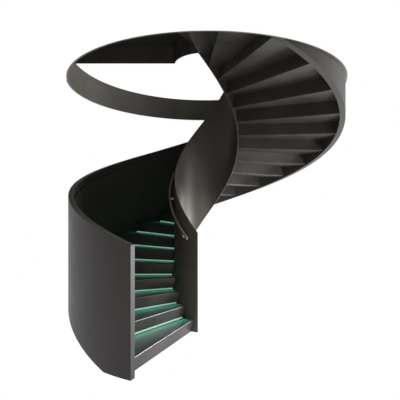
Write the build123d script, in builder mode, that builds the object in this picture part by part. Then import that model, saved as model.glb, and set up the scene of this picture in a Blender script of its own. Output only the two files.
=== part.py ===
from build123d import *
import math
import os

os.makedirs("parts", exist_ok=True)

# Helical stair in blackened steel, between a thick outer wall and a thin inner wall.
# Millimetres, +Z up. Angles are degrees round the stair's own vertical axis, seen from
# above: 0 is the front (-Y), 90 the left (-X), and the stair climbs as the angle grows.

# ---- flight
RISE = 160.0                    # height of one riser
RISERS = 24                     # risers from the floor to the landing
STEPS_PER_TURN = 23             # steps in one full turn
FIRST_RISER = 26.5              # angle of the first riser's foot
PLATE = 10.0                    # folded plate of the steps
BEND = 14.0                     # outside radius of the fold at the nosing
NOSING = 34.0                   # how far the raked riser leans out at its top

# ---- outer wall and its capping
OUTER_RADIUS = 1790.0           # outer face
OUTER_WALL = 64.0               # thickness
OUTER_GUARD = 1287.0            # top above the flight line, which joins the risers' feet
OUTER_SKIRT = 86.0              # lower edge below the flight line, at the first riser
OUTER_SKIRT_LOSS = 0.258        # the skirt is shallower by this much per degree
CAP_HEIGHT = 78.0
SHADOW_GAP = 46.0               # recess under the capping, on the stair side
SHADOW_DEPTH = 22.0
END_PLATE = 8.0                 # closes the front end of the wall and its capping
WALL_MARGIN = 88.0              # both walls start this far in front of the first riser's foot
OUTER_SEGMENTS = 5

# ---- inner wall, round the open well
WELL_RADIUS = 433.0             # face towards the well
INNER_WALL = 12.0
INNER_GUARD = 1372.0            # top above the flight line, at the first riser
INNER_GUARD_LOSS = 0.252        # the guard is lower by this much per degree
INNER_SKIRT = 240.0             # lower edge below the flight line, at the first riser
INNER_SKIRT_LOSS = 0.638        # the skirt is shallower by this much per degree
INNER_SEGMENTS = 4

# ---- landing
LANDING_THICKNESS = 76.0
LANDING_TURN = 63.5             # from the last riser to the line of the landing guard, degrees
LANDING_EDGE = 66.0             # the guard's far side stands this far in front of the axis
LANDING_SKIRT = 306.0           # the guard hangs this far below the landing's top
LANDING_JOINT = 1.0             # open joint between the landing and the walls beside it

# ---- ring lining the ceiling opening
RING_DROP = 297.0               # ring's top below the landing's top
RING_HEIGHT = 373.0
RING_THICKNESS = 29.0
RING_SEGMENTS = 4

# ---- handrail on the inner wall, a flat bar with eased upper edges
RAIL_WIDTH = 24.0
RAIL_DEPTH = 36.0
RAIL_EASE = 6.0                 # eased off the two upper edges
RAIL_STANDOFF = 48.0            # clear gap between wall and rail
RAIL_DROP = 205.0               # rail centre below the inner wall's top
RAIL_INSET = 2.5                # rail's ends from the first and last riser, degrees
BRACKETS = 8
BRACKET_PLATE = 8.0
BRACKET_INSET = 8.0             # first and last bracket from the rail's ends, degrees
BRACKET_DROP = 52.0             # blade leaves the wall this far under the rail's centre
BRACKET_DEPTH = 26.0            # height of the blade at the wall
BRACKET_NECK = 14.0             # width of the blade under the rail
BRACKET_BEND = 16.0             # radius of the blade's inside corner

# ---- light strips in the corner between tread and riser
STRIP = 14.0
STRIP_CLEAR = 30.0              # stops short of both walls

# ---- foot plate under the first tread
FOOT_THICKNESS = 12.0
ANCHOR_CIRCLE = 200.0
ANCHOR_HOLE = 18.0
ANCHORS = 4

STEP_ANGLE = 360.0 / STEPS_PER_TURN
FLIGHT_CLIMB = RISE / STEP_ANGLE                # rise of the flight line per degree
OUTER_FACE = OUTER_RADIUS - OUTER_WALL          # inside face of the outer wall
INNER_FACE = WELL_RADIUS + INNER_WALL           # stair side of the inner wall
FLIGHT_WIDTH = OUTER_FACE - INNER_FACE
LANDING_TOP = RISERS * RISE
LAST_RISER = FIRST_RISER + (RISERS - 1) * STEP_ANGLE
GUARD_ANGLE = LAST_RISER + LANDING_TURN
GUARD_FOOT = LANDING_TOP - LANDING_SKIRT
RAIL_START = FIRST_RISER + RAIL_INSET
RAIL_END = LAST_RISER - RAIL_INSET
RAIL_RADIUS = INNER_FACE + RAIL_STANDOFF + RAIL_WIDTH / 2

# The part's origin is the middle of the foot plate, on the floor.
FOOT_RADIUS = INNER_FACE + FLIGHT_WIDTH / 2
FOOT_ANGLE = FIRST_RISER + STEP_ANGLE / 2
AXIS_X = FOOT_RADIUS * math.sin(math.radians(FOOT_ANGLE))
AXIS_Y = FOOT_RADIUS * math.cos(math.radians(FOOT_ANGLE))
CLIMB_AXIS = Axis((AXIS_X, AXIS_Y, 0), (0, 0, -1))      # turns the way the stair climbs


def outward(angle):
    """Unit vector away from the stair's axis at this angle."""
    turn = math.radians(angle)
    return Vector(-math.sin(turn), -math.cos(turn), 0)


def uphill(angle):
    """Unit vector along the climb at this angle."""
    turn = math.radians(angle)
    return Vector(-math.cos(turn), math.sin(turn), 0)


def level(height):
    """Horizontal plane on the stair's axis, x to the right."""
    return Plane(origin=(AXIS_X, AXIS_Y, height))


def radial(angle, height=0.0):
    """Upright plane through the axis: x outward, y up, facing uphill."""
    return Plane(origin=(AXIS_X, AXIS_Y, height), x_dir=outward(angle), z_dir=uphill(angle))


def across(angle, height, radius):
    """Upright plane across the flight: x uphill, y up, facing the axis."""
    start = Vector(AXIS_X, AXIS_Y, height) + outward(angle) * radius
    return Plane(origin=start, x_dir=uphill(angle), z_dir=outward(angle) * -1)


# Edges of the walls. They climb with the flight, and the walls taper a little on the way up.
OUTER_FOOT_CLIMB = FLIGHT_CLIMB + OUTER_SKIRT_LOSS
INNER_FOOT_CLIMB = FLIGHT_CLIMB + INNER_SKIRT_LOSS
INNER_TOP_CLIMB = FLIGHT_CLIMB - INNER_GUARD_LOSS


def outer_top(angle):
    return OUTER_GUARD + FLIGHT_CLIMB * (angle - FIRST_RISER)


def outer_foot(angle):
    return max(0.0, OUTER_FOOT_CLIMB * (angle - FIRST_RISER) - OUTER_SKIRT)


def inner_top(angle):
    return INNER_GUARD + INNER_TOP_CLIMB * (angle - FIRST_RISER)


def inner_foot(angle):
    foot = INNER_FOOT_CLIMB * (angle - FIRST_RISER) - INNER_SKIRT
    return min(max(0.0, foot), GUARD_FOOT)


# Angles where a lower edge bends: it leaves the floor, and levels off at the landing guard.
OUTER_LIFT = FIRST_RISER + OUTER_SKIRT / OUTER_FOOT_CLIMB
INNER_LIFT = FIRST_RISER + INNER_SKIRT / INNER_FOOT_CLIMB
INNER_LEVEL = INNER_LIFT + GUARD_FOOT / INNER_FOOT_CLIMB


def spread(start, end, count):
    """count + 1 angles from start to end, evenly spaced."""
    return [start + (end - start) * i / count for i in range(count + 1)]


def save(piece, label):
    piece.part.label = label
    export_step(piece.part, f"parts/{label}.step")


# ---- walls: lofts through upright sections, close enough together to follow the cylinders

SECTION_STEP = 7.0              # about one loft section per this many degrees

# A section is a ring of corners: radius, the edge that the corner follows, drop below it.
REBATE_FACE = OUTER_FACE + SHADOW_DEPTH
OUTER_CORNERS = [
    (OUTER_FACE, outer_foot, 0),
    (OUTER_RADIUS, outer_foot, 0),
    (OUTER_RADIUS, outer_top, CAP_HEIGHT),
    (REBATE_FACE, outer_top, CAP_HEIGHT),
    (REBATE_FACE, outer_top, CAP_HEIGHT + SHADOW_GAP),
    (OUTER_FACE, outer_top, CAP_HEIGHT + SHADOW_GAP),
]
CAP_CORNERS = [
    (OUTER_FACE, outer_top, CAP_HEIGHT),
    (OUTER_RADIUS, outer_top, CAP_HEIGHT),
    (OUTER_RADIUS, outer_top, 0),
    (OUTER_FACE, outer_top, 0),
]
END_CORNERS = [
    (OUTER_FACE, outer_foot, 0),
    (OUTER_RADIUS, outer_foot, 0),
    (OUTER_RADIUS, outer_top, 0),
    (OUTER_FACE, outer_top, 0),
]
INNER_CORNERS = [
    (WELL_RADIUS, inner_foot, 0),
    (INNER_FACE, inner_foot, 0),
    (INNER_FACE, inner_top, 0),
    (WELL_RADIUS, inner_top, 0),
]


def start_angle(radius, margin):
    """Angle at which an upright cut this far in front of the first riser crosses the radius."""
    return FIRST_RISER - math.degrees(math.asin(margin / radius))


def front_section(corners, margin):
    """Section on an upright cut in front of the first riser and parallel to it."""
    points = []
    for radius, edge, drop in corners:
        reach = math.sqrt(radius**2 - margin**2)
        points.append((reach, edge(start_angle(radius, margin)) - drop))
    with BuildSketch(radial(FIRST_RISER).offset(-margin)) as section:
        with BuildLine():
            Polyline(*points, close=True)
        make_face()
    return section.sketch


def radial_section(corners, angle):
    """Section on the upright plane through the axis at this angle."""
    with BuildSketch(radial(angle)) as section:
        with BuildLine():
            Polyline(*((radius, edge(angle) - drop) for radius, edge, drop in corners), close=True)
        make_face()
    return section.sketch


def band(corners, start, end, bends=(), margin=None):
    """Loft a stretch of wall, in one run between each two bends.

    A margin starts it on the front cut that far before the first riser, and not at an angle."""
    first = start if margin is None else start_angle(corners[0][0], margin)
    runs = [first] + [bend for bend in bends if first < bend < end] + [end]
    with BuildPart() as wall:
        for low, high in zip(runs, runs[1:]):
            angles = spread(low, high, max(3, round((high - low) / SECTION_STEP)))
            if low == first and margin is not None:
                add(front_section(corners, margin))
                angles = angles[1:]
            for angle in angles:
                add(radial_section(corners, angle))
            loft()
    return wall


OUTER_MARGIN = WALL_MARGIN - END_PLATE          # the outer wall starts behind its end plate
outer_ends = spread(start_angle(OUTER_FACE, OUTER_MARGIN), LAST_RISER, OUTER_SEGMENTS)
for number in range(OUTER_SEGMENTS):
    margin = None if number else OUTER_MARGIN
    wall = band(OUTER_CORNERS, outer_ends[number], outer_ends[number + 1], [OUTER_LIFT], margin)
    save(wall, f"outer_wall_{number + 1}")

cap = band(CAP_CORNERS, outer_ends[0], LAST_RISER, margin=OUTER_MARGIN)
save(cap, "outer_capping")

with BuildPart() as wall_end:
    extrude(front_section(END_CORNERS, OUTER_MARGIN), amount=-END_PLATE)
save(wall_end, "outer_wall_end")

inner_ends = spread(start_angle(WELL_RADIUS, WALL_MARGIN), LAST_RISER, INNER_SEGMENTS)
inner_bends = [INNER_LIFT, INNER_LEVEL]
for number in range(INNER_SEGMENTS):
    margin = None if number else WALL_MARGIN
    wall = band(INNER_CORNERS, inner_ends[number], inner_ends[number + 1], inner_bends, margin)
    save(wall, f"inner_wall_{number + 1}")


# ---- folded steps: each is a raked riser and its tread, bent from one plate

def bend_nosing(profile):
    """Round the profile at the fold between riser and tread."""
    fillet(profile.vertices().sort_by_distance((-NOSING, RISE))[0], BEND)


def folded_step(number):
    """Riser and tread number, counted from the floor; its back edge meets the next riser."""
    angle = FIRST_RISER + (number - 1) * STEP_ANGLE
    foot = (number - 1) * RISE
    lean = PLATE * math.hypot(NOSING, RISE) / RISE
    reach = 2 * OUTER_FACE * math.sin(math.radians(STEP_ANGLE))
    corners = [
        (0, 0),
        (-NOSING, RISE),
        (reach, RISE),
        (reach, RISE - PLATE),
        (lean - NOSING * (1 - PLATE / RISE), RISE - PLATE),
        (lean, 0),
    ]
    if number > 1:                          # the riser runs down behind the tread before it
        corners += [(lean, -PLATE), (0, -PLATE)]
    with BuildPart() as step:
        with BuildSketch(across(angle, foot, OUTER_RADIUS)) as profile:
            with BuildLine():
                Polyline(*corners, close=True)
            make_face()
            bend_nosing(profile)
        extrude(amount=OUTER_RADIUS)
        with BuildSketch(level(foot - RISE)):
            Circle(OUTER_FACE)
            Circle(INNER_FACE, mode=Mode.SUBTRACT)
        extrude(amount=3 * RISE, mode=Mode.INTERSECT)
        split(bisect_by=radial(angle + STEP_ANGLE), keep=Keep.BOTTOM)
    return step


for number in range(1, RISERS):
    step = folded_step(number)
    save(step, f"step_{number:02d}")
    if number == 1:
        first_step = step


# ---- light strips: three-sided opal profiles laid in the corners behind the treads

with BuildPart() as strips:
    for number in range(1, RISERS):
        angle = FIRST_RISER + number * STEP_ANGLE
        with BuildSketch(across(angle, number * RISE, OUTER_FACE - STRIP_CLEAR)):
            with BuildLine():
                Polyline((0, 0), (-STRIP, 0), (-STRIP * NOSING / RISE, STRIP), close=True)
            make_face()
        extrude(amount=FLIGHT_WIDTH - 2 * STRIP_CLEAR)
save(strips, "light_strips")


# ---- landing: the last riser with its slab, and the guard that closes the well side

with BuildPart() as landing:
    with BuildSketch(across(LAST_RISER, LANDING_TOP - RISE, OUTER_RADIUS)) as profile:
        with BuildLine():
            Polyline(
                (0, -PLATE),
                (0, 0),
                (-NOSING, RISE),
                (OUTER_RADIUS, RISE),
                (OUTER_RADIUS, RISE - LANDING_THICKNESS),
                (PLATE, RISE - LANDING_THICKNESS),
                (PLATE, -PLATE),
                close=True,
            )
        make_face()
        bend_nosing(profile)
    extrude(amount=OUTER_RADIUS)
    with BuildSketch(level(LANDING_TOP - 2 * RISE)):
        Circle(OUTER_RADIUS)
        Circle(INNER_FACE + LANDING_JOINT, mode=Mode.SUBTRACT)
    extrude(amount=3 * RISE, mode=Mode.INTERSECT)
    split(bisect_by=radial(GUARD_ANGLE).offset(-LANDING_EDGE - INNER_WALL), keep=Keep.BOTTOM)
    with BuildSketch(radial(LAST_RISER)):       # the outer wall ends beside the riser
        with Locations((OUTER_FACE - LANDING_JOINT, LANDING_TOP)):
            Rectangle(2 * OUTER_WALL, 3 * RISE, align=(Align.MIN, Align.CENTER))
    extrude(amount=-2 * NOSING, mode=Mode.SUBTRACT)
save(landing, "landing")

guard_height = inner_top(LAST_RISER) - GUARD_FOOT
turn_end = GUARD_ANGLE - math.degrees(math.asin((LANDING_EDGE + INNER_WALL) / INNER_FACE))
with BuildPart() as turn:
    with BuildSketch(radial(LAST_RISER)):
        with Locations((WELL_RADIUS, GUARD_FOOT)):
            Rectangle(INNER_WALL, guard_height, align=(Align.MIN, Align.MIN))
    revolve(axis=CLIMB_AXIS, revolution_arc=turn_end - LAST_RISER)
save(turn, "landing_guard_turn")

with BuildPart() as guard:
    with BuildSketch(Plane(origin=(AXIS_X, AXIS_Y, GUARD_FOOT), x_dir=outward(GUARD_ANGLE))):
        Circle(OUTER_RADIUS)
        Circle(WELL_RADIUS, mode=Mode.SUBTRACT)
        with Locations((0, LANDING_EDGE)):
            Rectangle(OUTER_RADIUS, INNER_WALL, align=(Align.MIN, Align.MIN), mode=Mode.INTERSECT)
    extrude(amount=guard_height)
    add(turn.part, mode=Mode.SUBTRACT)
save(guard, "landing_guard")


# ---- ring lining the ceiling opening, in quarters

for number in range(RING_SEGMENTS):
    span = 360.0 / RING_SEGMENTS
    with BuildPart() as ring:
        with BuildSketch(radial(number * span)):
            with Locations((OUTER_RADIUS, LANDING_TOP - RING_DROP)):
                Rectangle(RING_THICKNESS, RING_HEIGHT, align=(Align.MIN, Align.MAX))
        revolve(axis=CLIMB_AXIS, revolution_arc=span)
    save(ring, f"opening_ring_{number + 1}")


# ---- handrail and its brackets, on the stair side of the inner wall

def rail_height(angle):
    return inner_top(angle) - RAIL_DROP


def rail_edge(angle):
    return rail_height(angle) + RAIL_DEPTH / 2


RAIL_IN = RAIL_RADIUS - RAIL_WIDTH / 2
RAIL_OUT = RAIL_RADIUS + RAIL_WIDTH / 2
RAIL_CORNERS = [
    (RAIL_IN + RAIL_EASE, rail_edge, 0),
    (RAIL_OUT - RAIL_EASE, rail_edge, 0),
    (RAIL_OUT, rail_edge, RAIL_EASE),
    (RAIL_OUT, rail_edge, RAIL_DEPTH),
    (RAIL_IN, rail_edge, RAIL_DEPTH),
    (RAIL_IN, rail_edge, RAIL_EASE),
]
rail = band(RAIL_CORNERS, RAIL_START, RAIL_END)
save(rail, "handrail")

with BuildPart() as brackets:
    for angle in spread(RAIL_START + BRACKET_INSET, RAIL_END - BRACKET_INSET, BRACKETS - 1):
        with BuildSketch(radial(angle, rail_height(angle) - BRACKET_DROP)):
            with BuildLine():
                FilletPolyline(
                    (INNER_FACE, 0),
                    (RAIL_RADIUS - BRACKET_NECK / 2, 0),
                    (RAIL_RADIUS - BRACKET_NECK / 2, BRACKET_DROP),
                    radius=BRACKET_BEND,
                )
                Line(
                    (RAIL_RADIUS - BRACKET_NECK / 2, BRACKET_DROP),
                    (RAIL_RADIUS + BRACKET_NECK / 2, BRACKET_DROP),
                )
                FilletPolyline(
                    (RAIL_RADIUS + BRACKET_NECK / 2, BRACKET_DROP),
                    (RAIL_RADIUS + BRACKET_NECK / 2, -BRACKET_DEPTH),
                    (INNER_FACE, -BRACKET_DEPTH),
                    radius=BRACKET_BEND + BRACKET_NECK,
                )
                Line((INNER_FACE, -BRACKET_DEPTH), (INNER_FACE, 0))
            make_face()
        extrude(amount=BRACKET_PLATE / 2, both=True)
    add(rail.part, mode=Mode.SUBTRACT)
save(brackets, "handrail_brackets")


# ---- foot plate: anchors the flight to the floor under the first tread

with BuildPart() as foot_plate:
    with BuildSketch(radial(FIRST_RISER)):
        with Locations((INNER_FACE, 0)):
            Rectangle(FLIGHT_WIDTH, FOOT_THICKNESS, align=(Align.MIN, Align.MIN))
    revolve(axis=CLIMB_AXIS, revolution_arc=STEP_ANGLE)
    add(first_step.part, mode=Mode.SUBTRACT)
    with Locations((0, 0, FOOT_THICKNESS)):
        with PolarLocations(ANCHOR_CIRCLE / 2, ANCHORS, start_angle=45):
            Hole(ANCHOR_HOLE / 2)
save(foot_plate, "foot_plate")
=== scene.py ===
import math

import bmesh
import bpy
from mathutils import Matrix, Vector


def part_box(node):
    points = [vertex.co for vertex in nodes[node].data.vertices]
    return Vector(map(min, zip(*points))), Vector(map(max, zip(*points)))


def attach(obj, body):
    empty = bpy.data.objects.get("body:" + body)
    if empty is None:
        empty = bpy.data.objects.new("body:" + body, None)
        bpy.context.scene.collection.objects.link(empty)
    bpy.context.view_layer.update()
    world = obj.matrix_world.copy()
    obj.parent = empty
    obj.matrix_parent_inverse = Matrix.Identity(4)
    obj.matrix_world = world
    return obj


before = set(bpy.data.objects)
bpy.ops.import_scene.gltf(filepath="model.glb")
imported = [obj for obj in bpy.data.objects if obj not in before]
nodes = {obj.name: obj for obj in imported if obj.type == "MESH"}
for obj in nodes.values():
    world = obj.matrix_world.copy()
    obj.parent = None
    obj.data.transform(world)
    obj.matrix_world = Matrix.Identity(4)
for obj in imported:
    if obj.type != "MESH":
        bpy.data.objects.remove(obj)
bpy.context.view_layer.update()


# ---- Steps
# Each step is one plate of 10 mm steel, folded on a press brake into a raked riser and a
# tread, then chemically blackened and sealed with a satin lacquer. The steps are welded
# between the two walls. Feet have polished the fold at the nosing. The treads' tops are
# painted a lighter blue-grey, painted light, and the undersides darker, painted shade.

STEP_TONES = ("#353232", "#4b4747")
STEP_EDGE = 0.0012              # sheared edges, eased with a file
# painted light on the treads' tops
TREAD_PAINTED_LIGHT = "#66747a"
NOSING_STEEL = "#94949e"
CLOUD_MM = 420                  # the oxide's clouds
GRAIN_MM, RELIEF_MM = 6, 0.08   # the mill's drag marks
DRAG_STRETCH = 0.06             # a drag mark's scale upright, to one across
GRAIN_SHARE = 0.2               # of the tone; the clouds give the rest
NOISE_LOW, NOISE_HIGH = 0.3, 0.7        # most of a noise lies between these
GLOSS_DRIFT = 0.05              # the lacquer's roughness, up and down
WELD_GAP = 0.00005              # doubled corners of a CAD mesh lie nearer than this
EDGE_ANGLE = 40                 # degrees; a blunter edge isn't eased
MIX_FACTOR, MIX_UNDER, MIX_OVER, MIX_RESULT = 0, 6, 7, 2    # a Mix node's sockets for colours

steps = [name for name in sorted(nodes) if name.startswith("step_")]


def srgb(code):
    """sRGB hex to linear RGBA."""
    channels = [int(code[i : i + 2], 16) / 255 for i in (1, 3, 5)]
    return [c / 12.92 if c <= 0.04045 else ((c + 0.055) / 1.055) ** 2.4 for c in channels] + [1.0]


def add_node(tree, kind, links=(), stops=(), **settings):
    """Add a node with its settings and links.

    Links are (input, source), where the source is an output or a plain value. Stops are a
    colour ramp's (position, sRGB code). Settings are inputs or properties by name."""
    node = tree.nodes.new(kind)
    for name, value in settings.items():
        label = name.replace("_", " ").lower()
        socket = next((s for s in node.inputs if s.name.lower() == label), None)
        if socket is None:
            setattr(node, name, value)
        else:
            socket.default_value = value
    for name, source in links:
        if isinstance(source, bpy.types.NodeSocket):
            tree.links.new(source, node.inputs[name])
        else:
            node.inputs[name].default_value = source
    if stops:
        elements = node.color_ramp.elements
        while len(elements) < len(stops):
            elements.new(0.5)
        for element, (position, code) in zip(elements, stops):
            element.position = position
            element.color = srgb(code)
    return node


def new_material(name):
    """Material with an empty tree but for its output; returns (material, tree, output)."""
    material = bpy.data.materials.new(name)
    material.use_nodes = True
    tree = material.node_tree
    tree.nodes.clear()
    return material, tree, tree.nodes.new("ShaderNodeOutputMaterial")


def lacquered_steel(name, tones, roughness):
    """Blackened steel under satin lacquer; returns (material, tree, shader, colour).

    It reads as a soft near-black with slow clouds of oxide and a low sheen: the clouds are a few
    hand-widths across, and the mill's rolls leave a fine upright drag in them. The drag is drawn
    a few times coarser than the real one, so that it shows."""
    material, tree, output = new_material(name)
    place = add_node(tree, "ShaderNodeTexCoord").outputs["Object"]
    clouds = add_node(tree, "ShaderNodeTexNoise", [("Vector", place)],
                      scale=1000 / CLOUD_MM, detail=3.0, roughness=0.55)
    drag = add_node(tree, "ShaderNodeMapping", [("Vector", place)], scale=(1.0, 1.0, DRAG_STRETCH))
    grain = add_node(tree, "ShaderNodeTexNoise", [("Vector", drag.outputs["Vector"])],
                     scale=1000 / GRAIN_MM, detail=2.0, roughness=0.6)
    tone = add_node(tree, "ShaderNodeMix",
                    [("A", clouds.outputs["Fac"]), ("B", grain.outputs["Fac"])],
                    factor=GRAIN_SHARE).outputs["Result"]
    oxide = add_node(tree, "ShaderNodeValToRGB", [("Fac", tone)],
                     stops=[(NOISE_LOW, tones[0]), (NOISE_HIGH, tones[1])])
    color = oxide.outputs["Color"]
    gloss = add_node(tree, "ShaderNodeMapRange", [("Value", tone)],
                     from_min=NOISE_LOW, from_max=NOISE_HIGH,
                     to_min=roughness - GLOSS_DRIFT, to_max=roughness + GLOSS_DRIFT)
    bump = add_node(tree, "ShaderNodeBump", [("Height", grain.outputs["Fac"])],
                    strength=0.25, distance=RELIEF_MM / 1000)
    shader = add_node(tree, "ShaderNodeBsdfPrincipled",
                      [("Base Color", color), ("Roughness", gloss.outputs["Result"]),
                       ("Normal", bump.outputs["Normal"])], ior=1.5)
    tree.links.new(shader.outputs["BSDF"], output.inputs["Surface"])
    return material, tree, shader, color


def finish_cad(names, material, edge=0.0):
    """Give CAD nodes their material, and ease their sharp edges by this many metres."""
    for name in names:
        for slot in nodes[name].material_slots:
            slot.material = material
        if edge:
            nodes[name].modifiers.new("joined", "WELD").merge_threshold = WELD_GAP
            eased = nodes[name].modifiers.new("eased", "BEVEL")
            eased.width = edge
            eased.segments = 2
            eased.limit_method = "ANGLE"
            eased.angle_limit = math.radians(EDGE_ANGLE)
            eased.harden_normals = True
            nodes[name].modifiers.new("normals", "WEIGHTED_NORMAL").keep_sharp = True


# The way a face leans picks its tone: 0 faces straight down, 0.5 is upright, 1 straight up. The
# undersides, at 0, and the risers' backs, at 0.6, are painted darker than the fronts, at 0.4:
# painted shade. The fold at the nosing is rubbed to bare steel. The treads' tops, at 1, are
# painted a lighter blue-grey: painted light.
step_steel, tree, shader, color = lacquered_steel("blackened_steel_folded_plate", STEP_TONES,
                                                  roughness=0.32)
normal = add_node(tree, "ShaderNodeNewGeometry").outputs["Normal"]
upward = add_node(tree, "ShaderNodeSeparateXYZ", [("Vector", normal)]).outputs["Z"]
lean = add_node(tree, "ShaderNodeMapRange", [("Value", upward)],
                from_min=-1.0, from_max=1.0).outputs["Result"]
# Painted shade: darkens the undersides and the risers' backs.
painted_shade = add_node(tree, "ShaderNodeValToRGB", [("Fac", lean)],
                stops=[(0.04, "#cacec0"), (0.3, "#ffffff"), (0.47, "#ffffff"),
                       (0.55, "#bcbeb4"), (0.62, "#bcbeb4"), (0.7, "#ffffff")])
steel_with_painted_shade = add_node(tree, "ShaderNodeMix", data_type="RGBA", blend_type="MULTIPLY",
                links=[(MIX_FACTOR, 1.0), (MIX_UNDER, color), (MIX_OVER, painted_shade.outputs["Color"])])
# Painted light: the treads' tops take the lighter blue-grey.
tread_tops = add_node(tree, "ShaderNodeValToRGB", [("Fac", lean)],
                   stops=[(0.978, "#000000"), (0.99, "#ffffff")])
painted_tread_light = add_node(tree, "ShaderNodeMix", data_type="RGBA",
                  links=[(MIX_FACTOR, tread_tops.outputs["Color"]),
                         (MIX_UNDER, steel_with_painted_shade.outputs[MIX_RESULT]), (MIX_OVER, srgb(TREAD_PAINTED_LIGHT))])
polished = add_node(tree, "ShaderNodeValToRGB", [("Fac", lean)],
                    stops=[(0.63, "#000000"), (0.68, "#ffffff"),
                           (0.955, "#ffffff"), (0.978, "#000000")])
bared = add_node(tree, "ShaderNodeMix", data_type="RGBA",
                 links=[(MIX_FACTOR, polished.outputs["Color"]),
                        (MIX_UNDER, painted_tread_light.outputs[MIX_RESULT]), (MIX_OVER, srgb(NOSING_STEEL))])
tree.links.new(bared.outputs[MIX_RESULT], shader.inputs["Base Color"])
tree.links.new(polished.outputs["Color"], shader.inputs["Metallic"])
finish_cad(steps, step_steel, STEP_EDGE)


# ---- Light strips
# An opal acrylic profile lies in the corner behind each tread, over a green-white LED tape,
# with a grey moulded cap pushed on each end. The tape washes the tread in front of it.

STEPS_PER_TURN = 23
FIRST_RISER = 26.5              # degrees round the axis, from the front towards the left
STRIP = 0.014                   # legs of the three-sided profile
STRIP_LEAN = 0.034 / 0.160      # the riser's rake: the nosing's 34 mm in a rise of 160 mm
DRIFT_MM = 125                  # the glow's drift
SPARKS = 1.4                    # marks to the millimetre
SPARK_RELIEF = 0.00005
CAP_THICKNESS = 0.003
CAP_LIP = 0.0008                # the cap stands this far round the profile
TAPE_COLOR = "#5ee6b4"
TAPE_WATTS = 0.80               # of the lowest tape
TAPE_LOSS, TAPE_LEAST = 0.2, 0.3        # lost in the cable from tape to tape, and the least share
TAPE_DIP = 0.55                 # the light falls by this much to one downhill
TAPE_SPREAD = 88                # degrees
TAPE_WIDTH = 0.012
TAPE_FORWARD, TAPE_UP = 0.026, 0.045    # from the corner

ring_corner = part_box("opening_ring_1")[1]
axis = Vector((ring_corner.x, ring_corner.y, 0.0))      # the stair's upright axis
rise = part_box("step_01")[1].z


def outward(angle):
    """Unit vector away from the axis at this angle."""
    turn = math.radians(angle)
    return Vector((-math.sin(turn), -math.cos(turn), 0.0))


def uphill(angle):
    """Unit vector along the climb at this angle."""
    turn = math.radians(angle)
    return Vector((-math.cos(turn), math.sin(turn), 0.0))


def reach(name):
    """Smallest and largest distance of a CAD node from the axis."""
    distances = [(vertex.co.xy - axis.xy).length for vertex in nodes[name].data.vertices]
    return min(distances), max(distances)


def add_piece(name, builder, material):
    """Turn the mesh into a piece that rides on the stair."""
    bmesh.ops.recalc_face_normals(builder, faces=builder.faces)
    mesh = bpy.data.meshes.new(name)
    builder.to_mesh(mesh)
    builder.free()
    mesh.materials.append(material)
    piece = bpy.data.objects.new(name, mesh)
    bpy.context.scene.collection.objects.link(piece)
    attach(piece, "root")


def add_prism(builder, outline, push):
    """Closed prism from a ring of corners, pushed along a vector."""
    low = [builder.verts.new(corner) for corner in outline]
    high = [builder.verts.new(corner + push) for corner in outline]
    builder.faces.new(low)
    builder.faces.new(high)
    for i in range(len(outline)):
        builder.faces.new((low[i - 1], low[i], high[i], high[i - 1]))


# Opal acrylic scatters the tape's light evenly: a glow with no source in it, and a faint drift.
opal, tree, output = new_material("opal_acrylic_lit")
place = add_node(tree, "ShaderNodeTexCoord").outputs["Object"]
drift = add_node(tree, "ShaderNodeTexNoise", [("Vector", place)], scale=1000 / DRIFT_MM, detail=1.0)
milk = add_node(tree, "ShaderNodeValToRGB", [("Fac", drift.outputs["Fac"])],
                stops=[(0.35, "#9fdcbd"), (0.65, "#b6e6cc")])
shader = add_node(tree, "ShaderNodeBsdfPrincipled", [("Emission Color", milk.outputs["Color"])],
                  base_color=srgb("#8fa89c"), roughness=0.5, emission_strength=0.47)
tree.links.new(shader.outputs["BSDF"], output.inputs["Surface"])
finish_cad(["light_strips"], opal)

# Moulded polycarbonate has a fine spark texture, which keeps its grey quite matt. It is drawn
# coarser than the real one, so that it shows.
cap_grey, tree, output = new_material("grey_polycarbonate")
place = add_node(tree, "ShaderNodeTexCoord").outputs["Object"]
spark = add_node(tree, "ShaderNodeTexNoise", [("Vector", place)], scale=1000 * SPARKS, detail=2.0)
grey = add_node(tree, "ShaderNodeValToRGB", [("Fac", spark.outputs["Fac"])],
                stops=[(NOISE_LOW, "#2c2e2f"), (NOISE_HIGH, "#3a3c3e")])
relief = add_node(tree, "ShaderNodeBump", [("Height", spark.outputs["Fac"])],
                  strength=0.3, distance=SPARK_RELIEF)
shader = add_node(tree, "ShaderNodeBsdfPrincipled", [("Base Color", grey.outputs["Color"]),
                  ("Normal", relief.outputs["Normal"])], roughness=0.55)
tree.links.new(shader.outputs["BSDF"], output.inputs["Surface"])

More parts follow.
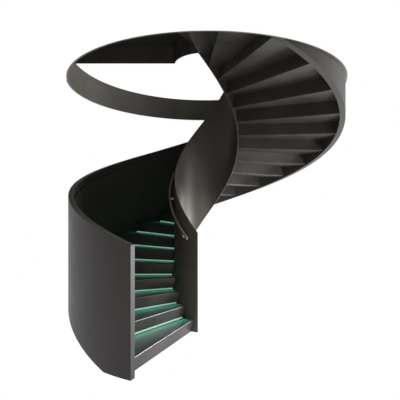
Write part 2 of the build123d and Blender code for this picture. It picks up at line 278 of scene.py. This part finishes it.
strip_in, strip_out = reach("light_strips")
cap_side = STRIP + CAP_LIP
cap_top = STRIP * STRIP_LEAN
cap_profile = [(0.0, 0.0), (cap_side, 0.0), (cap_side, 2 * CAP_LIP),
               (cap_top + 2 * CAP_LIP, cap_side), (cap_top, cap_side)]
caps = bmesh.new()
for number in range(1, len(steps) + 1):
    angle = FIRST_RISER + number * 360 / STEPS_PER_TURN
    side = outward(angle)
    corner = axis + Vector((0, 0, number * rise))
    for distance, way in ((strip_in, -1), (strip_out, 1)):
        start = corner + side * distance
        outline = [start - uphill(angle) * x + Vector((0, 0, z)) for x, z in cap_profile]
        add_prism(caps, outline, side * way * CAP_THICKNESS)
    # The tape is a long thin lamp in front of the strip, which shines down on the tread.
    lamp = bpy.data.lights.new(f"tape_{number:02d}", "AREA")
    lamp.shape = "RECTANGLE"
    lamp.size = strip_out - strip_in
    lamp.size_y = TAPE_WIDTH
    lamp.energy = TAPE_WATTS * max(TAPE_LEAST, 1 - TAPE_LOSS * (number - 1))
    lamp.color = srgb(TAPE_COLOR)[:3]
    lamp.spread = math.radians(TAPE_SPREAD)
    tape = bpy.data.objects.new(lamp.name, lamp)
    aim = (-uphill(angle) - Vector((0, 0, TAPE_DIP))).normalized()
    turned = Matrix((side, (-aim).cross(side), -aim)).transposed().to_4x4()
    turned.translation = corner + side * (strip_in + strip_out) / 2 - uphill(angle) * TAPE_FORWARD
    turned.translation.z += TAPE_UP
    tape.matrix_world = turned
    tape.visible_camera = False
    tape.visible_glossy = False
    bpy.context.scene.collection.objects.link(tape)
add_piece("light_strip_caps", caps, cap_grey)


# ---- Outer wall
# Two skins of rolled sheet over ribs, 64 mm thick in all, which carry the steps' outer ends and
# are their guard. Both skins are blackened and lacquered. An 8 mm plate, cut to the wall's
# section, closes the front end.

OUTER_TONES = ("#292625", "#393432")
STAIR_SIDE = "#33312c"
SKIN_DEPTH = 0.002              # what lies deeper from the outside is the stair side's skin
# paler than the wall's tones: painted light on the front-facing end
END_PAINTED_LIGHT_TONES = ("#343131", "#464242")
END_EDGE = 0.0015

outer_walls = [name for name in sorted(nodes) if name.startswith("outer_wall_")]
outer_radius = reach("outer_wall_1")[1]

# The outer skin is near-black with slow clouds. The stair side's is one even tone, a little
# greener, because it was blackened apart.
wall_steel, tree, shader, color = lacquered_steel("blackened_steel_outer_skin", OUTER_TONES,
                                                  roughness=0.38)
place = add_node(tree, "ShaderNodeNewGeometry").outputs["Position"]
spoke = add_node(tree, "ShaderNodeMapping", [("Vector", place)],
                 scale=(1.0, 1.0, 0.0), location=(-axis.x, -axis.y, 0.0))
length = add_node(tree, "ShaderNodeVectorMath", [(0, spoke.outputs["Vector"])], operation="LENGTH")
inside = add_node(tree, "ShaderNodeMath", operation="LESS_THAN",
                  links=[(0, length.outputs["Value"]), (1, outer_radius - SKIN_DEPTH)])
both = add_node(tree, "ShaderNodeMix", data_type="RGBA",
                links=[(MIX_FACTOR, inside.outputs["Value"]), (MIX_UNDER, color),
                       (MIX_OVER, srgb(STAIR_SIDE))])
tree.links.new(both.outputs[MIX_RESULT], shader.inputs["Base Color"])
finish_cad([name for name in outer_walls if name != "outer_wall_end"], wall_steel)

# The end plate stands where people turn in, so its lacquer is duller from touch. It is painted
# paler than the wall: painted light on the face that looks to the front.
end_steel_painted_light = lacquered_steel("blackened_steel_end_plate", END_PAINTED_LIGHT_TONES, roughness=0.5)[0]
finish_cad(["outer_wall_end"], end_steel_painted_light, END_EDGE)


# ---- Capping
# A folded channel of the outer wall's steel, which closes its top over the recess of its shadow
# gap and oversails the stair side. It is blackened and lacquered with the wall.

# painted light on the capping's top
CAPPING_PAINTED_LIGHT = "#6b6764"
CAPPING_EDGE = 0.0012

# The top is painted a warm mid grey: painted light from above. The sides keep the wall's
# near-black.
cap_steel, tree, shader, color = lacquered_steel("blackened_steel_capping", OUTER_TONES,
                                                 roughness=0.36)
normal = add_node(tree, "ShaderNodeNewGeometry").outputs["Normal"]
upward = add_node(tree, "ShaderNodeSeparateXYZ", [("Vector", normal)]).outputs["Z"]
top = add_node(tree, "ShaderNodeValToRGB", [("Fac", upward)],
               stops=[(0.5, "#000000"), (0.8, "#ffffff")])
painted_top_light = add_node(tree, "ShaderNodeMix", data_type="RGBA",
                  links=[(MIX_FACTOR, top.outputs["Color"]), (MIX_UNDER, color),
                         (MIX_OVER, srgb(CAPPING_PAINTED_LIGHT))])
tree.links.new(painted_top_light.outputs[MIX_RESULT], shader.inputs["Base Color"])
finish_cad(["outer_capping"], cap_steel, CAPPING_EDGE)


# ---- Inner wall and landing guard
# One 12 mm plate, rolled in lengths, butt welded and ground flush. It winds round the open well,
# carries the steps' inner ends, and turns off flat as the guard of the landing. It is blackened
# and lacquered as the steps are.

# painted light near the floor, and painted shade above a person's height
INNER_PAINTED_LIGHT_TONES = ("#423d38", "#564f48")
INNER_PAINTED_SHADE = "#332e2a"
PAINTED_LIGHT_BELOW, PAINTED_SHADE_ABOVE = 1.5, 1.9   # metres above the floor
# painted shade on the landing's guard
GUARD_SHADE_TONES = ("#1d1b19", "#292623")

inner_walls = [name for name in sorted(nodes) if name.startswith("inner_wall_")]

# It is painted a clouded warm grey near the floor, painted light, which fades above a person's
# height to an even brown-black, painted shade.
inner_steel, tree, shader, color = lacquered_steel("blackened_steel_inner_wall", INNER_PAINTED_LIGHT_TONES,
                                                   roughness=0.36)
place = add_node(tree, "ShaderNodeNewGeometry").outputs["Position"]
height = add_node(tree, "ShaderNodeSeparateXYZ", [("Vector", place)]).outputs["Z"]
shade_rise = add_node(tree, "ShaderNodeMapRange", [("Value", height)], interpolation_type="SMOOTHSTEP",
                  from_min=PAINTED_LIGHT_BELOW, from_max=PAINTED_SHADE_ABOVE)
painted_height_shade = add_node(tree, "ShaderNodeMix", data_type="RGBA",
                 links=[(MIX_FACTOR, shade_rise.outputs["Result"]), (MIX_UNDER, color),
                        (MIX_OVER, srgb(INNER_PAINTED_SHADE))])
tree.links.new(painted_height_shade.outputs[MIX_RESULT], shader.inputs["Base Color"])
finish_cad(inner_walls, inner_steel)

# The landing's guard is painted almost black: painted shade, where it hangs in the opening.
shaded_guard_steel = lacquered_steel("blackened_steel_landing_guard", GUARD_SHADE_TONES, roughness=0.40)[0]
finish_cad(["landing_guard", "landing_guard_turn"], shaded_guard_steel)


# ---- Landing
# A boxed deck of blackened plate between the two walls, with the last riser folded on its front
# edge. It is welded to both walls.

LANDING_SHADE_TONES = ("#131211", "#1c1b19")
LANDING_EDGE = 0.002

# Painted near-black, a shade deeper than the guard's, with hardly a cloud in it: painted shade.
shaded_landing_steel = lacquered_steel("blackened_steel_landing", LANDING_SHADE_TONES, roughness=0.40)[0]
finish_cad(["landing"], shaded_landing_steel, LANDING_EDGE)


# ---- Opening ring
# Four rolled plates that line the opening in the ceiling, butt welded into a ring and blackened
# apart from the stair.

RING_TONES = ("#4c4a45", "#615e57")

rings = [name for name in sorted(nodes) if name.startswith("opening_ring_")]

# The oxide is thinner here: a warm dark grey, paler than the walls.
ring_steel = lacquered_steel("blackened_steel_ring", RING_TONES, roughness=0.40)[0]
finish_cad(rings, ring_steel)


# ---- Handrail
# A flat bar of bronze with eased edges, waxed, on bronze blades that are welded under it. Each
# blade meets the wall through a round rose with two button-headed screws, of blackened steel.

RAIL_EDGE, BLADE_EDGE = 0.002, 0.001
WAX_MM = 60                     # patches of thick and thin wax
BRACKETS = 8
BRACKET_FIRST, BRACKET_LAST = 37.0, 376.0       # degrees
BRACKET_FOOT = 1.102            # middle of the blade at the wall, at the first riser
GUARD_CLIMB = 0.0099702         # metres to a degree
ROSE_RADIUS, ROSE_THICKNESS = 0.022, 0.004
ROSE_CHAMFER = 0.001
ROSE_LET_IN = 0.001             # into the wall's face
SCREW_SPREAD = 0.014            # from the rose's middle
SCREW_RADIUS, SCREW_HEIGHT = 0.0045, 0.0024
DOME = (0.0, 0.4, 0.8, 1.2, 1.45)       # radians up the screw's head


def add_turned(builder, start, along, profile, segments=32):
    """Turn a profile of (radius, height) points about a line, closed at both ends."""
    sideways = along.orthogonal().normalized()
    across = along.cross(sideways)
    spin = [2 * math.pi * i / segments for i in range(segments)]
    rims = []
    for radius, height in profile:
        rims.append([builder.verts.new(start + along * height + sideways * radius * math.cos(t)
                                       + across * radius * math.sin(t)) for t in spin])
    for low, high in zip(rims, rims[1:]):
        for i in range(segments):
            builder.faces.new((low[i - 1], low[i], high[i], high[i - 1]))
    builder.faces.new(rims[0])
    builder.faces.new(rims[-1])


# Waxed bronze: warm brown, darker where the wax lies thick, with a broad soft highlight.
bronze, tree, output = new_material("waxed_bronze")
place = add_node(tree, "ShaderNodeTexCoord").outputs["Object"]
patches = add_node(tree, "ShaderNodeTexNoise", [("Vector", place)], scale=1000 / WAX_MM, detail=4.0)
brown = add_node(tree, "ShaderNodeValToRGB", [("Fac", patches.outputs["Fac"])],
                 stops=[(NOISE_LOW, "#746c60"), (NOISE_HIGH, "#9e9686")])
wax = add_node(tree, "ShaderNodeMapRange", [("Value", patches.outputs["Fac"])],
               from_min=NOISE_LOW, from_max=NOISE_HIGH, to_min=0.50, to_max=0.40)
shader = add_node(tree, "ShaderNodeBsdfPrincipled", [("Base Color", brown.outputs["Color"]),
                  ("Roughness", wax.outputs["Result"])], metallic=0.4)
tree.links.new(shader.outputs["BSDF"], output.inputs["Surface"])
finish_cad(["handrail"], bronze, RAIL_EDGE)
finish_cad(["handrail_brackets"], bronze, BLADE_EDGE)

wall_face = reach("step_12")[0]
rose_top = ROSE_THICKNESS + ROSE_CHAMFER
rose = [(ROSE_RADIUS, 0.0), (ROSE_RADIUS, ROSE_THICKNESS), (ROSE_RADIUS - ROSE_CHAMFER, rose_top)]
dome = [(SCREW_RADIUS * math.cos(t), SCREW_HEIGHT * math.sin(t)) for t in DOME]
roses = bmesh.new()
for number in range(BRACKETS):
    angle = BRACKET_FIRST + (BRACKET_LAST - BRACKET_FIRST) * number / (BRACKETS - 1)
    height = BRACKET_FOOT + GUARD_CLIMB * (angle - FIRST_RISER)
    side = outward(angle)
    foot = axis + side * (wall_face - ROSE_LET_IN) + Vector((0, 0, height))
    add_turned(roses, foot, side, rose)
    for way in (-1, 1):
        head = foot + uphill(angle) * way * SCREW_SPREAD + side * rose_top
        add_turned(roses, head, side, dome, segments=16)
# The roses and their screws take the guard's near-black: painted shade.
add_piece("bracket_roses", roses, shaded_guard_steel)


# ---- Foot plate and anchors
# A 12 mm plate under the first tread, blackened with the stair. Four M16 anchor bolts hold it to
# the floor, each with a washer and a nut, all zinc plated.

PLATE_TONES = ("#282524", "#363230")
PLATE_EDGE = 0.0015
BLOOM_MM = 9                    # clouds in the zinc
ANCHORS = 4
ANCHOR_CIRCLE = 0.100           # radius
FIRST_ANCHOR = 45               # degrees
WASHER_RADIUS, WASHER_THICKNESS = 0.015, 0.003
NUT_ACROSS, NUT_HEIGHT, NUT_CHAMFER = 0.024, 0.013, 0.0015
STUD_RADIUS, STUD_PROUD = 0.008, 0.010
THREAD, THREAD_DEPTH = 0.002, 0.001     # the pitch, and how deep it is cut

# Zinc plating: cool, bright and a little cloudy.
zinc, tree, output = new_material("zinc_plated_steel")
place = add_node(tree, "ShaderNodeTexCoord").outputs["Object"]
bloom = add_node(tree, "ShaderNodeTexNoise", [("Vector", place)], scale=1000 / BLOOM_MM, detail=3.0)
silver = add_node(tree, "ShaderNodeValToRGB", [("Fac", bloom.outputs["Fac"])],
                  stops=[(NOISE_LOW, "#8e9296"), (NOISE_HIGH, "#b4b7ba")])
dull = add_node(tree, "ShaderNodeMapRange", [("Value", bloom.outputs["Fac"])],
                to_min=0.3, to_max=0.45)
shader = add_node(tree, "ShaderNodeBsdfPrincipled", [("Base Color", silver.outputs["Color"]),
                  ("Roughness", dull.outputs["Result"])], metallic=1.0)
tree.links.new(shader.outputs["BSDF"], output.inputs["Surface"])

# The plate has the wall's near-black, a little duller from the mop.
plate_steel = lacquered_steel("blackened_steel_foot_plate", PLATE_TONES, roughness=0.42)[0]
finish_cad(["foot_plate"], plate_steel, PLATE_EDGE)

flat = NUT_ACROSS / 2
point = NUT_ACROSS / math.sqrt(3)
washer = [(WASHER_RADIUS, 0.0), (WASHER_RADIUS, WASHER_THICKNESS)]
nut = [(flat, 0.0), (point, NUT_CHAMFER), (point, NUT_HEIGHT - NUT_CHAMFER), (flat, NUT_HEIGHT)]
thread = [(STUD_RADIUS - THREAD_DEPTH, 0.0)]
for i in range(round(STUD_PROUD / THREAD)):
    thread += [(STUD_RADIUS, (i + 0.5) * THREAD), (STUD_RADIUS - THREAD_DEPTH, (i + 1) * THREAD)]

up = Vector((0, 0, 1))
anchors = bmesh.new()
for number in range(ANCHORS):
    turn = math.radians(FIRST_ANCHOR + 360 * number / ANCHORS)
    plate_top = Vector((math.cos(turn) * ANCHOR_CIRCLE, math.sin(turn) * ANCHOR_CIRCLE,
                        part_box("foot_plate")[1].z))
    seat = plate_top + up * WASHER_THICKNESS
    add_turned(anchors, plate_top, up, washer)
    add_turned(anchors, seat, up, nut, segments=6)
    add_turned(anchors, seat + up * NUT_HEIGHT, up, thread, segments=20)
add_piece("anchor_bolts", anchors, zinc)


# ---- Floor
# A plain pale floor, which runs out of sight. It looks white to the eye, and it throws more
# light up at the right than at the left.

FLOOR = 40.0                    # metres to each side
GLOW_LEFT, GLOW_RIGHT = (-0.9, 0.70), (0.9, 1.2)    # metres right of the axis, and its light

floor_mesh = bpy.data.meshes.new("floor")
floor_mesh.from_pydata([(x * FLOOR, y * FLOOR, 0) for x, y in ((-1, -1), (1, -1), (1, 1), (-1, 1))],
                       [], [(0, 1, 2, 3)])
floor = bpy.data.objects.new("floor", floor_mesh)
floor.location = axis
bpy.context.scene.collection.objects.link(floor)

# Matt white paint, seen with no shade on it, so that the stair stands out clean.
floor_paint, tree, output = new_material("pale_floor")
place = add_node(tree, "ShaderNodeTexCoord").outputs["Object"]
sideways = add_node(tree, "ShaderNodeSeparateXYZ", [("Vector", place)]).outputs["X"]
glow = add_node(tree, "ShaderNodeMapRange", [("Value", sideways)], interpolation_type="SMOOTHSTEP",
                from_min=GLOW_LEFT[0], from_max=GLOW_RIGHT[0],
                to_min=GLOW_LEFT[1], to_max=GLOW_RIGHT[1])
lit = add_node(tree, "ShaderNodeEmission", [("Strength", glow.outputs["Result"])])
white = add_node(tree, "ShaderNodeEmission", strength=1.0)
seen = add_node(tree, "ShaderNodeLightPath").outputs["Is Camera Ray"]
both = add_node(tree, "ShaderNodeMixShader",
                [("Fac", seen), (1, lit.outputs[0]), (2, white.outputs[0])])
tree.links.new(both.outputs[0], output.inputs["Surface"])
floor_mesh.materials.append(floor_paint)


# ---- Ceiling
# The ceiling's soffit round the opening hides the ring's outside, and all above it, from a
# viewer below in front of the stair. It is a thin white screen that falls a little outward, and
# that is seen from below only, so a level view of the stair looks over it.

CEILING_FRONT, CEILING_BACK, CEILING_SIDE = 3.15, 0.5, 1.95     # metres from the axis
CEILING_FALL = 0.28             # down, to one outward
CEILING_LAP = 0.007             # it laps the ring's lower edge
CEILING_GAP = 0.001             # it hangs this far under the ring
SCREEN_SEGMENTS = 96
TINY = 1e-6                     # keeps a ray straight ahead from dividing by nothing

ring_radius = reach("opening_ring_1")[1]
hole = ring_radius - CEILING_LAP
edge_angle = math.acos(CEILING_BACK / ring_radius)
builder = bmesh.new()
rims = []
for i in range(SCREEN_SEGMENTS + 1):
    turn = -edge_angle + 2 * edge_angle * i / SCREEN_SEGMENTS
    ray = Vector((math.sin(turn), -math.cos(turn), 0))
    stretch = min(CEILING_SIDE / max(abs(ray.x), TINY), CEILING_FRONT / -ray.y)
    fall = Vector((0, 0, (stretch - hole) * CEILING_FALL))
    rims.append((builder.verts.new(ray * hole), builder.verts.new(ray * stretch - fall)))
for (inner, outer), (inner_next, outer_next) in zip(rims, rims[1:]):
    builder.faces.new((inner, outer, outer_next, inner_next))
builder.normal_update()
for face in builder.faces:
    if face.normal.z > 0:
        face.normal_flip()
screen_mesh = bpy.data.meshes.new("ceiling_soffit")
builder.to_mesh(screen_mesh)
builder.free()
screen = bpy.data.objects.new("ceiling_soffit", screen_mesh)
screen.location = (axis.x, axis.y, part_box("opening_ring_1")[0].z - CEILING_GAP)
bpy.context.scene.collection.objects.link(screen)
screen.visible_shadow = False
screen.visible_diffuse = False
screen.visible_glossy = False

# Flat white from below, and clear from above.
soffit_paint, tree, output = new_material("white_soffit")
back = add_node(tree, "ShaderNodeNewGeometry").outputs["Backfacing"]
clear = add_node(tree, "ShaderNodeBsdfTransparent")
white = add_node(tree, "ShaderNodeEmission", color=srgb("#ffffff"), strength=1.0)
sheet = add_node(tree, "ShaderNodeMixShader",
                 [("Fac", back), (1, white.outputs[0]), (2, clear.outputs[0])])
tree.links.new(sheet.outputs[0], output.inputs["Surface"])
screen_mesh.materials.append(soffit_paint)


# ---- Room light
# A bright band round the horizon, dimmer above, in front and to the left, with three broad
# panels of light at the right and in front. To the eye the room is plain white.

BAND = ((0.25, 1.0), (0.7, 0.12))       # how far up the direction points, and its light
SIDES = ((0.45, 0.42), (0.9, 1.1))      # how far right it points, and its share
DEPTHS = ((-0.7, 0.40), (-0.1, 1.0))    # how far back it points, and its share

world = bpy.data.worlds.new("studio")
bpy.context.scene.world = world
world.use_nodes = True
tree = world.node_tree
tree.nodes.clear()
output = tree.nodes.new("ShaderNodeOutputWorld")
direction = add_node(tree, "ShaderNodeTexCoord").outputs["Generated"]
parts = add_node(tree, "ShaderNodeSeparateXYZ", [("Vector", direction)])
levels = []
for source, (start, end) in (("Z", BAND), ("X", SIDES), ("Y", DEPTHS)):
    level = add_node(tree, "ShaderNodeMapRange", [("Value", parts.outputs[source])],
                     interpolation_type="SMOOTHSTEP", from_min=start[0], from_max=end[0],
                     to_min=start[1], to_max=end[1])
    levels.append(level.outputs["Result"])
share = add_node(tree, "ShaderNodeMath", [(0, levels[0]), (1, levels[1])], operation="MULTIPLY")
strength = add_node(tree, "ShaderNodeMath", [(0, share.outputs["Value"]), (1, levels[2])],
                    operation="MULTIPLY")
room = add_node(tree, "ShaderNodeBackground", [("Strength", strength.outputs["Value"])],
                color=srgb("#fffdfa"))
plain = add_node(tree, "ShaderNodeBackground", color=srgb("#ffffff"), strength=1.0)
seen = add_node(tree, "ShaderNodeLightPath").outputs["Is Camera Ray"]
both = add_node(tree, "ShaderNodeMixShader",
                [("Fac", seen), (1, room.outputs[0]), (2, plain.outputs[0])])
tree.links.new(both.outputs[0], output.inputs["Surface"])
bpy.context.scene.view_settings.view_transform = "Standard"


def softbox(name, place, target, width, height, watts, code="#f6f4f3"):
    """Broad panel of light, unseen by the camera; places are metres from the stair's axis."""
    lamp = bpy.data.lights.new(name, "AREA")
    lamp.shape = "RECTANGLE"
    lamp.size = width
    lamp.size_y = height
    lamp.energy = watts
    lamp.color = srgb(code)[:3]
    box = bpy.data.objects.new(name, lamp)
    box.location = axis + Vector(place)
    box.rotation_euler = (Vector(target) - Vector(place)).to_track_quat("-Z", "Y").to_euler()
    box.visible_camera = False
    bpy.context.scene.collection.objects.link(box)


softbox("softbox_back_right", (4.2, 1.2, 1.1), (-0.4, -1.2, 0.4), width=0.8, height=2.0, watts=50)
softbox("softbox_right", (3.8, -1.0, 0.5), (-0.4, -1.0, 0.4), width=1.4, height=0.8, watts=190)
softbox("softbox_front", (0.9, -5.5, 0.45), (-0.2, -0.4, 0.5), width=3.0, height=0.7, watts=30,
        code="#fbfaf4")


# ---- Camera
# A viewer's eye at standing height, a little over three metres in front of the stair, which
# looks level along the middle of it.

EYE = Vector((-0.0526, -4.969, 1.692))      # metres from the stair's axis
TILT = 89.94                    # degrees up from straight down

camera_data = bpy.data.cameras.new("camera")
camera_data.lens = 32.32
camera_data.sensor_width = 36.0
camera_data.shift_x = -0.0062
camera_data.shift_y = -0.0026
camera = bpy.data.objects.new("camera", camera_data)
camera.location = axis + EYE
camera.rotation_euler = (math.radians(TILT), 0.0, 0.0)
bpy.context.scene.collection.objects.link(camera)
bpy.context.scene.camera = camera
